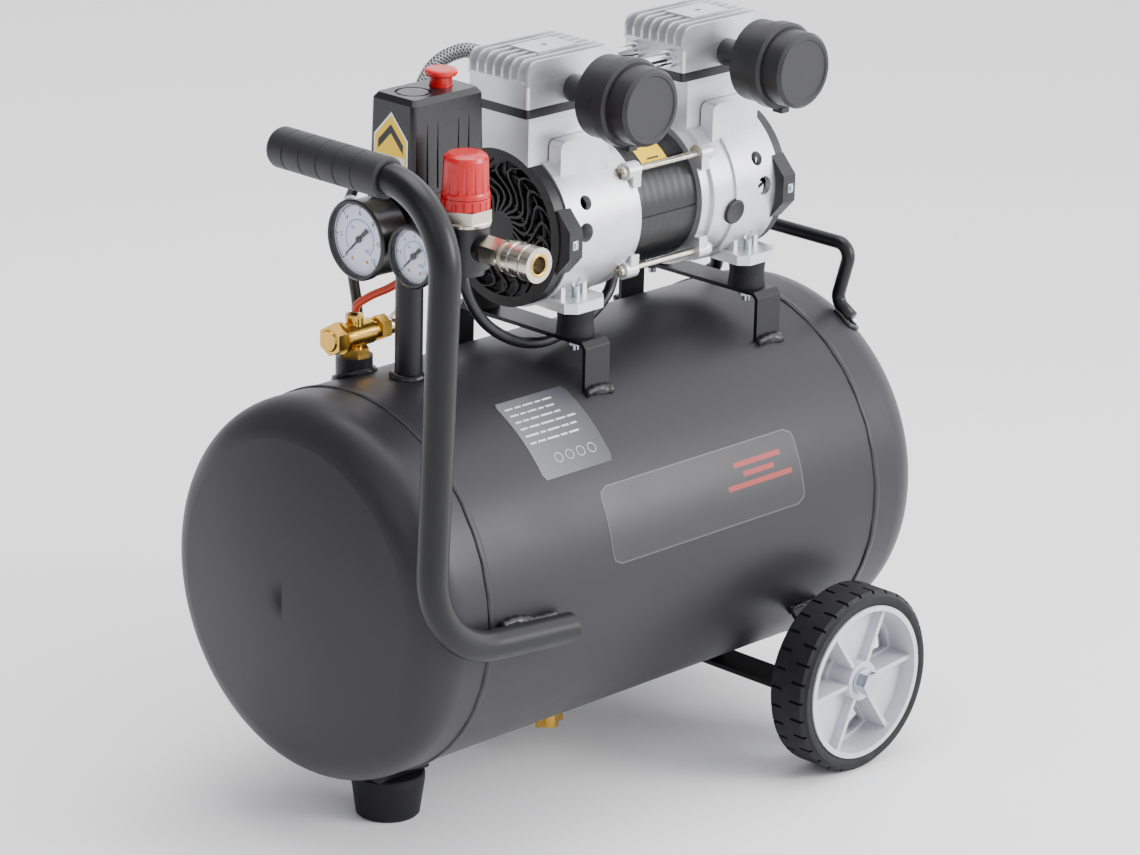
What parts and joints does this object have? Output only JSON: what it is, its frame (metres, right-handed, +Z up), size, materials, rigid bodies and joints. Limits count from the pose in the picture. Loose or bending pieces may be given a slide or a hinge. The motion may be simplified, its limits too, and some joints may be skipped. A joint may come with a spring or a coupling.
{
  "type": "air compressor",
  "caption": "Portable horizontal air compressor: twin-cylinder oil-free pump on a welded tank with pressure switch, gauges, regulator, quick coupler, push handle, wheels and foot.",
  "frame": {"origin": "on the floor under the middle of the frame (its bounding box without the mains lead)", "axes": "+X along the tank towards the wheels, -Y the regulator side, +Z up"},
  "size_m": [0.5523, 0.4382, 0.5562],
  "materials": {
    "tank_paint": "satin",
    "frame_paint": "satin",
    "rubber": "matte",
    "grip_rubber": "matte",
    "zinc": "satin",
    "manifold_black": "satin",
    "switch_plastic": "satin",
    "red_plastic": "gloss",
    "nickel": "satin",
    "gauge_black": "gloss",
    "dial_white": "matte",
    "needle_black": "matte",
    "brass": "satin",
    "braided_steel": "satin",
    "red_tube": "gloss",
    "cord_sheath": "satin",
    "cast_aluminium": "satin",
    "machined_steel": "satin",
    "machined_aluminium": "satin",
    "fan_plastic": "satin",
    "stator_black": "satin",
    "rod_zinc": "satin",
    "chrome": "gloss",
    "filter_plastic": "satin",
    "wheel_plastic": "satin",
    "tyre_rubber": "matte"
  },
  "bodies": {
    "frame": {"tank_barrel": "tank_paint", "tank_heads": "tank_paint", "tank_bungs": "tank_paint", "foot_bracket": "frame_paint", "rubber_foot": "rubber", "axle_bracket": "frame_paint", "wheel_bolts": "zinc", "push_handle": "frame_paint", "handle_grip": "grip_rubber", "carry_handle": "frame_paint", "pump_brackets": "frame_paint", "mount_rubbers": "rubber", "mount_bolts": "zinc", "switch_post": "frame_paint", "manifold": "manifold_black", "switch_base": "switch_plastic", "switch_cover": "switch_plastic", "regulator_body": "manifold_black", "regulator_nut": "nickel", "gauge_cases": "gauge_black", "gauge_dials": "dial_white", "coupler_body": "nickel", "safety_valve_body": "brass", "check_valve_body": "brass", "check_valve_cap": "brass", "delivery_hose": "braided_steel", "unloader_tube": "red_tube", "drain_valve_body": "brass", "motor_lead": "cord_sheath", "crankcases": "cast_aluminium", "cylinder_liners": "machined_steel", "bearings": "machined_steel", "fan_covers": "fan_plastic", "stator": "stator_black", "tie_rods": "rod_zinc", "cylinder_heads": "cast_aluminium", "valve_plates": "stator_black", "transfer_pipes": "chrome", "filter_bodies": "filter_plastic", "mains_lead": "cord_sheath", "lead_coil": "cord_sheath", "mains_plug": "cord_sheath"},
    "wheel_left": {"wheel_left": "wheel_plastic", "tyre_left": "tyre_rubber"},
    "wheel_right": {"wheel_right": "wheel_plastic", "tyre_right": "tyre_rubber"},
    "switch_knob": {"switch_knob": "red_plastic"},
    "regulator_knob": {"regulator_knob": "red_plastic"},
    "regulator_lock_ring": {"regulator_lock_ring": "red_plastic"},
    "tank_gauge_needle": {"tank_gauge_needle": "needle_black"},
    "outlet_gauge_needle": {"outlet_gauge_needle": "needle_black"},
    "coupler_sleeve": {"coupler_sleeve": "nickel"},
    "safety_valve_ring": {"safety_valve_ring": "zinc"},
    "drain_valve_knob": {"drain_valve_knob": "brass"},
    "filter_cap_front": {"filter_cap_front": "filter_plastic"},
    "filter_cap_rear": {"filter_cap_rear": "filter_plastic"},
    "rotor": {"rotor": "machined_steel", "cooling_fans": "fan_plastic"},
    "piston_front": {"piston_front": "machined_aluminium"},
    "piston_rear": {"piston_rear": "machined_aluminium"}
  },
  "joints": [
    {"name": "wheel_left_spin", "type": "hinge", "parent": "frame", "child": "wheel_left", "pos_m": [0.15332, 0.166, 0.07], "axis": [0, 1, 0], "continuous": true},
    {"name": "wheel_right_spin", "type": "hinge", "parent": "frame", "child": "wheel_right", "pos_m": [0.15332, -0.166, 0.07], "axis": [0, 1, 0], "continuous": true},
    {"name": "switch_knob_press", "type": "slide", "parent": "frame", "child": "switch_knob", "axis": [0, 0, 1], "range_m": [-0.006, 0]},
    {"name": "regulator_knob_turn", "type": "hinge", "parent": "frame", "child": "regulator_knob", "pos_m": [-0.14468, -0.055, 0.49], "axis": [0, 0, 1], "range_deg": [-720, 720]},
    {"name": "regulator_lock_ring_turn", "type": "hinge", "parent": "frame", "child": "regulator_lock_ring", "pos_m": [-0.14468, -0.055, 0.47], "axis": [0, 0, 1], "range_deg": [-180, 180]},
    {"name": "tank_gauge_needle_sweep", "type": "hinge", "parent": "frame", "child": "tank_gauge_needle", "pos_m": [-0.19468, 0, 0.44], "axis": [1, 0, 0], "range_deg": [0, 270], "stiffness_Nm_per_rad": 0.0002, "springref_deg": -17.19},
    {"name": "outlet_gauge_needle_sweep", "type": "hinge", "parent": "frame", "child": "outlet_gauge_needle", "pos_m": [-0.19468, -0.055, 0.44], "axis": [1, 0, 0], "range_deg": [0, 270], "stiffness_Nm_per_rad": 0.0002, "springref_deg": -17.19},
    {"name": "coupler_sleeve_pull", "type": "slide", "parent": "frame", "child": "coupler_sleeve", "axis": [0, 1, 0], "range_m": [0, 0.004], "stiffness_N_per_m": 600, "springref_m": -0.004},
    {"name": "safety_valve_pull", "type": "slide", "parent": "frame", "child": "safety_valve_ring", "axis": [0, 1, 0], "range_m": [0, 0.003], "stiffness_N_per_m": 1000, "springref_m": -0.002},
    {"name": "drain_valve_turn", "type": "hinge", "parent": "frame", "child": "drain_valve_knob", "pos_m": [0.00532, 0, 0.03], "axis": [0, 0, 1], "range_deg": [-360, 0]},
    {"name": "filter_cap_front_twist", "type": "hinge", "parent": "frame", "child": "filter_cap_front", "pos_m": [-0.01468, -0.09, 0.52425], "axis": [0, 1, 0], "range_deg": [0, 30]},
    {"name": "filter_cap_rear_twist", "type": "hinge", "parent": "frame", "child": "filter_cap_rear", "pos_m": [0.14532, -0.09, 0.52425], "axis": [0, 1, 0], "range_deg": [0, 30]},
    {"name": "rotor_spin", "type": "hinge", "parent": "frame", "child": "rotor", "pos_m": [0.06532, 0, 0.422], "axis": [1, 0, 0], "continuous": true},
    {"name": "piston_front_slide", "type": "slide", "parent": "frame", "child": "piston_front", "axis": [0, 0, 1], "range_m": [-0.005, 0.005]},
    {"name": "piston_rear_slide", "type": "slide", "parent": "frame", "child": "piston_rear", "axis": [0, 0, 1], "range_m": [-0.005, 0.005]}
  ]
}
